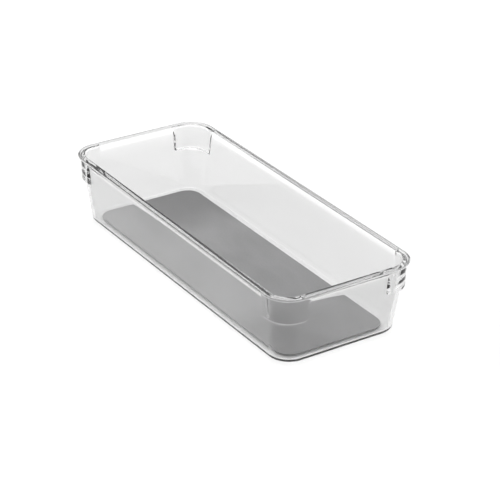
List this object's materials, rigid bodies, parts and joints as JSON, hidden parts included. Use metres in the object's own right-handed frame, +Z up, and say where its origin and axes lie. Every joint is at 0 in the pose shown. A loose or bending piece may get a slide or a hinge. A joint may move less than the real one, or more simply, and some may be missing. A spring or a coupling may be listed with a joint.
{
  "type": "drawer organizer tray",
  "caption": "Long clear plastic drawer organizer tray with drafted walls, rim flange, corner lugs, a grey soft-grip liner and small non-slip feet.",
  "frame": {"origin": "centre of the footprint, on the surface that the feet stand on", "axes": "+X along the tray's length, +Y across its width towards the rear long wall, +Z up out of the mouth"},
  "size_m": [0.254, 0.1024, 0.048],
  "materials": {
    "clear_plastic": "clear polished polystyrene",
    "liner_rubber": "matt grey soft-grip sheet",
    "foot_rubber": "satin light grey elastomer"
  },
  "bodies": {
    "root": {"tray_shell": "clear_plastic", "soft_grip_liner": "liner_rubber", "foot_front_left": "foot_rubber", "foot_front_right": "foot_rubber", "foot_rear_left": "foot_rubber", "foot_rear_right": "foot_rubber"}
  },
  "joints": []
}
